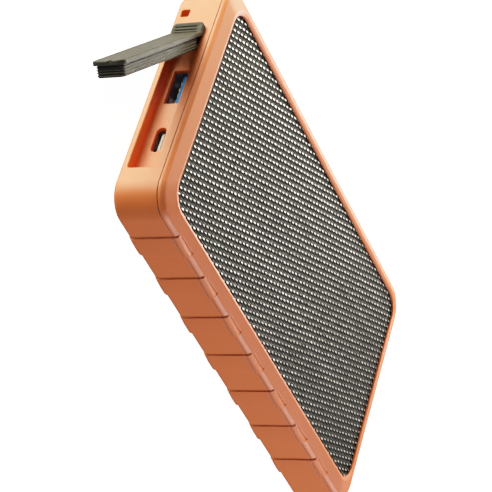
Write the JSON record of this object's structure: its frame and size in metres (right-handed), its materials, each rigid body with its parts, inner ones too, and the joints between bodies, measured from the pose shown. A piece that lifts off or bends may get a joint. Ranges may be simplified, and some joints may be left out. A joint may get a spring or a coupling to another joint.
{
  "type": "power bank",
  "caption": "Flat rugged power bank with a woven front panel, ribbed sides, a port bay under a hinged rubber flap, and a side power button.",
  "frame": {"origin": "middle of the flat back face, which the power bank lies on", "axes": "+X towards the ribbed long side away from the power button, +Y along the length away from the port end, +Z out of the woven front"},
  "size_m": [0.0856, 0.1916, 0.018],
  "materials": {
    "orange_case": "fine satin texture",
    "woven_front": "charcoal and silver plain weave",
    "grey_rubber": "matte",
    "black_plastic": "moulded",
    "seal_silicone": "matte",
    "plated_steel": "nickel plated",
    "screw_steel": "satin",
    "gold_contacts": "gold plated",
    "blue_plastic": "moulded",
    "circuit_board": "solder mask",
    "chip_black": "moulded epoxy",
    "cell_foil": "laminated foil",
    "bright_metal": "bright",
    "cell_foam": "foam",
    "clear_guides": "clear",
    "light_chips": "diffuse",
    "red_lead": "insulated wire",
    "black_lead": "insulated wire"
  },
  "bodies": {
    "case": {"back_shell": "orange_case", "battery_cell_back": "cell_foil", "battery_cell_front": "cell_foil", "board_screw_1": "screw_steel", "board_screw_2": "screw_steel", "capacitor_1": "bright_metal", "capacitor_2": "bright_metal", "case_screw_1": "screw_steel", "case_screw_2": "screw_steel", "case_screw_3": "screw_steel", "case_screw_4": "screw_steel", "cell_lead_negative": "black_lead", "cell_lead_positive": "red_lead", "cell_tab_1": "bright_metal", "cell_tab_2": "bright_metal", "cell_tab_3": "bright_metal", "cell_tab_4": "bright_metal", "charge_controller": "chip_black", "charge_light_1": "light_chips", "charge_light_2": "light_chips", "charge_light_3": "light_chips", "charge_light_4": "light_chips", "circuit_board": "circuit_board", "flap_anchor": "grey_rubber", "flap_hinge_web": "grey_rubber", "foam_pad_back": "cell_foam", "foam_pad_middle": "cell_foam", "front_frame": "orange_case", "light_guide_1": "clear_guides", "light_guide_2": "clear_guides", "light_guide_3": "clear_guides", "light_guide_4": "clear_guides", "output_converter": "chip_black", "panel_backing_plate": "black_plastic", "perimeter_seal": "seal_silicone", "power_inductor": "chip_black", "protection_board": "circuit_board", "switch_body": "plated_steel", "usb_a_contact_1": "gold_contacts", "usb_a_contact_2": "gold_contacts", "usb_a_contact_3": "gold_contacts", "usb_a_contact_4": "gold_contacts", "usb_a_shell": "plated_steel", "usb_a_tongue": "blue_plastic", "usb_c_riser": "black_plastic", "usb_c_shell": "plated_steel", "usb_c_tongue": "plated_steel", "weave_panel": "woven_front"},
    "flap": {"port_flap": "grey_rubber"},
    "button": {"power_button": "grey_rubber", "switch_plunger": "black_plastic"}
  },
  "joints": [
    {"name": "flap_hinge", "type": "hinge", "parent": "case", "child": "flap", "pos_m": [-0.0206, -0.0805, 0.0071], "axis": [0, 0, -1], "range_deg": [-38.5, 66.5]},
    {"name": "button_press", "type": "slide", "parent": "case", "child": "button", "axis": [1, 0, 0], "range_m": [0, 0.0006], "stiffness_N_per_m": 2500, "springref_m": -0.0002}
  ]
}
